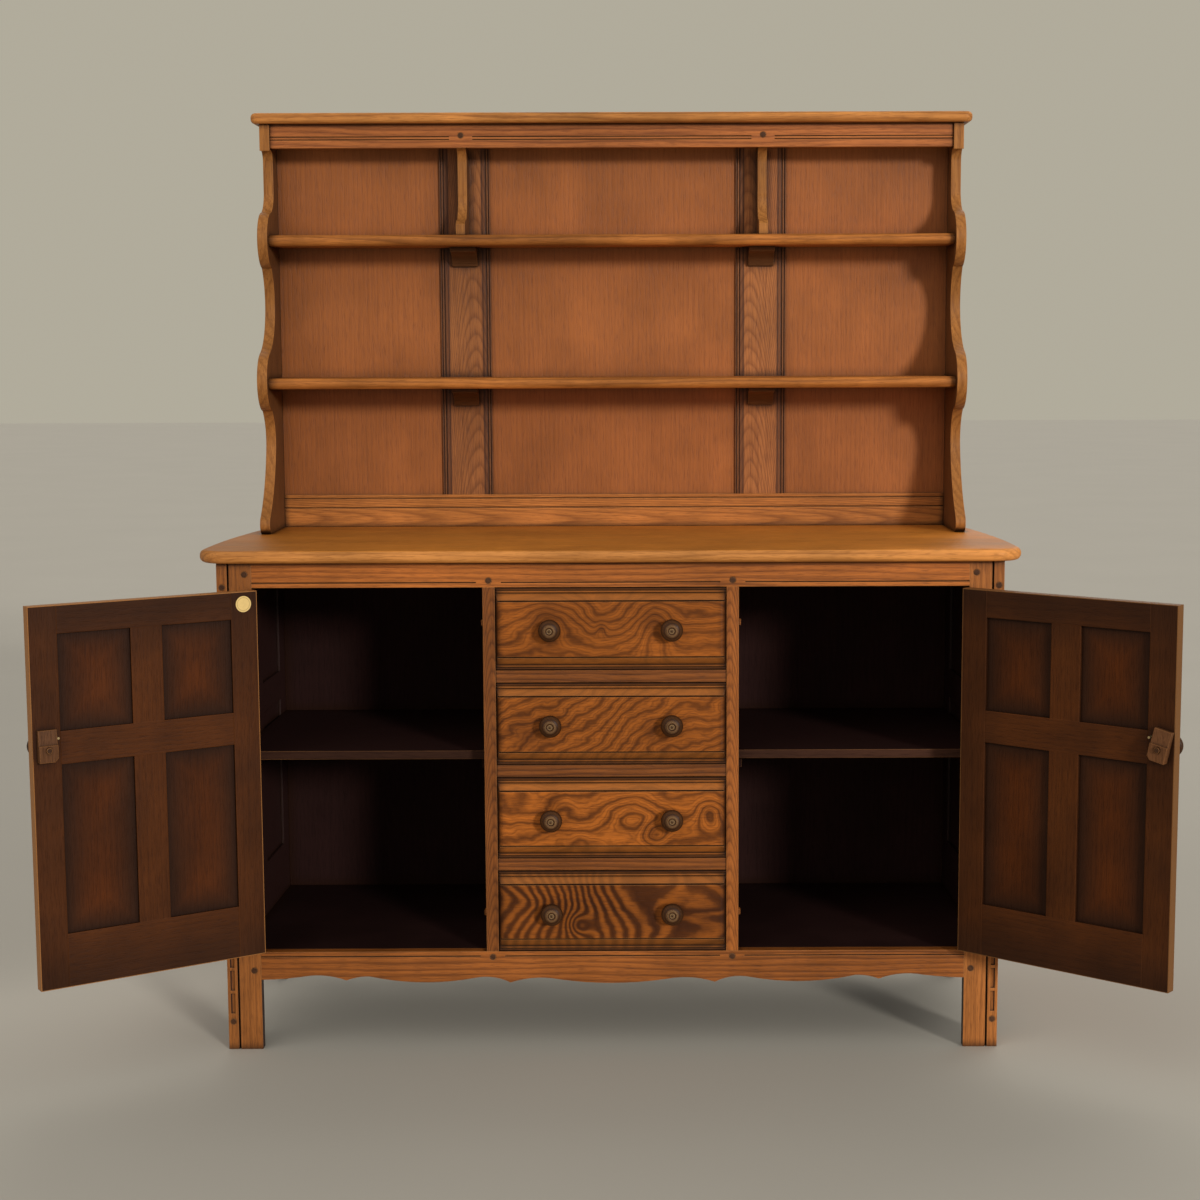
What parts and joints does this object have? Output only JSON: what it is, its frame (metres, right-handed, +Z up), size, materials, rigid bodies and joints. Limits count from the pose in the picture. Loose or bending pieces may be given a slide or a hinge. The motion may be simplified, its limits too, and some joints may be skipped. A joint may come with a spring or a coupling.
{
  "type": "kitchen dresser",
  "caption": "Free-standing dresser: a cupboard base with panelled doors, moulded drawers and turn latches, under a plate rack with scalloped sides, shelves and a cornice.",
  "frame": {"origin": "on the floor, at the centre of the base cabinet between its front and rear planes", "axes": "+Z up, -Y out of the front, +X to the right as seen from the front"},
  "size_m": [1.8996, 0.7562, 1.6735],
  "materials": {
    "elm_frame": "waxed elm, satin",
    "elm_worktop": "waxed elm, worn satin",
    "elm_figured": "figured elm, satin",
    "elm_rack_back": "stained wood, satin",
    "dark_inside": "dark stained wood, dull",
    "door_wood": "dark stained inside, waxed outside",
    "drawer_box_wood": "plain unfinished wood",
    "knob_wood": "dark turned wood, satin",
    "peg_wood": "dark end grain",
    "hinge_steel": "dull steel",
    "brass": "worn brass"
  },
  "bodies": {
    "dresser": {"back_panel": "dark_inside", "base_floor": "dark_inside", "cupboard_shelves": "dark_inside", "door_stops": "dark_inside", "drawer_rails": "elm_frame", "drawer_runners": "dark_inside", "drawer_stiles": "elm_frame", "frame_hinges": "hinge_steel", "frame_pegs": "peg_wood", "front_apron": "elm_frame", "front_leg_left": "elm_frame", "front_leg_right": "elm_frame", "front_top_rail": "elm_frame", "partitions": "dark_inside", "rack_back_panels": "elm_rack_back", "rack_bottom_rail": "elm_rack_back", "rack_corbels": "elm_frame", "rack_cornice": "elm_frame", "rack_dividers": "elm_frame", "rack_frieze": "elm_frame", "rack_lower_shelf": "elm_frame", "rack_muntins": "elm_rack_back", "rack_side_left": "elm_frame", "rack_side_right": "elm_frame", "rack_upper_shelf": "elm_frame", "rear_rails": "dark_inside", "shelf_battens": "dark_inside", "side_front_stiles": "elm_frame", "side_panels": "elm_frame", "side_rails": "elm_frame", "side_rear_stiles": "elm_frame", "worktop": "elm_worktop"},
    "drawer_1": {"drawer_1_box": "drawer_box_wood", "drawer_1_front": "elm_figured", "drawer_1_knobs": "knob_wood"},
    "drawer_2": {"drawer_2_box": "drawer_box_wood", "drawer_2_front": "elm_figured", "drawer_2_knobs": "knob_wood"},
    "drawer_3": {"drawer_3_box": "drawer_box_wood", "drawer_3_front": "elm_figured", "drawer_3_knobs": "knob_wood"},
    "drawer_4": {"drawer_4_box": "drawer_box_wood", "drawer_4_front": "elm_figured", "drawer_4_knobs": "knob_wood"},
    "left_door": {"left_door_hinge_leaves": "hinge_steel", "left_door_medallion": "brass", "left_door_panels": "door_wood", "left_door_rails": "door_wood", "left_door_stiles": "door_wood", "left_door_stop_pin": "brass"},
    "left_latch": {"left_door_knob": "knob_wood", "left_turn_button": "door_wood"},
    "right_door": {"right_door_hinge_leaves": "hinge_steel", "right_door_panels": "door_wood", "right_door_rails": "door_wood", "right_door_stiles": "door_wood", "right_door_stop_pin": "brass"},
    "right_latch": {"right_door_knob": "knob_wood", "right_turn_button": "door_wood"}
  },
  "joints": [
    {"name": "left_door_swing", "type": "hinge", "parent": "dresser", "child": "left_door", "pos_m": [-0.62185, -0.2415, 0.50375], "axis": [0, 0, 1], "range_deg": [-23.5, 146.5]},
    {"name": "right_door_swing", "type": "hinge", "parent": "dresser", "child": "right_door", "pos_m": [0.62185, -0.2415, 0.50375], "axis": [0, 0, 1], "range_deg": [-141, 29]},
    {"name": "left_latch_turn", "type": "hinge", "parent": "left_door", "child": "left_latch", "pos_m": [-0.92666, -0.4604, 0.58825], "axis": [0.5519, -0.8339, 0], "range_deg": [0, 90]},
    {"name": "right_latch_turn", "type": "hinge", "parent": "right_door", "child": "right_latch", "pos_m": [0.90428, -0.48861, 0.58825], "axis": [0.6293, 0.7771, 0], "range_deg": [-12, 78]},
    {"name": "drawer_1_slide", "type": "slide", "parent": "dresser", "child": "drawer_1", "axis": [0, -1, 0], "range_m": [0, 0.32]},
    {"name": "drawer_2_slide", "type": "slide", "parent": "dresser", "child": "drawer_2", "axis": [0, -1, 0], "range_m": [0, 0.32]},
    {"name": "drawer_3_slide", "type": "slide", "parent": "dresser", "child": "drawer_3", "axis": [0, -1, 0], "range_m": [0, 0.32]},
    {"name": "drawer_4_slide", "type": "slide", "parent": "dresser", "child": "drawer_4", "axis": [0, -1, 0], "range_m": [0, 0.32]}
  ]
}
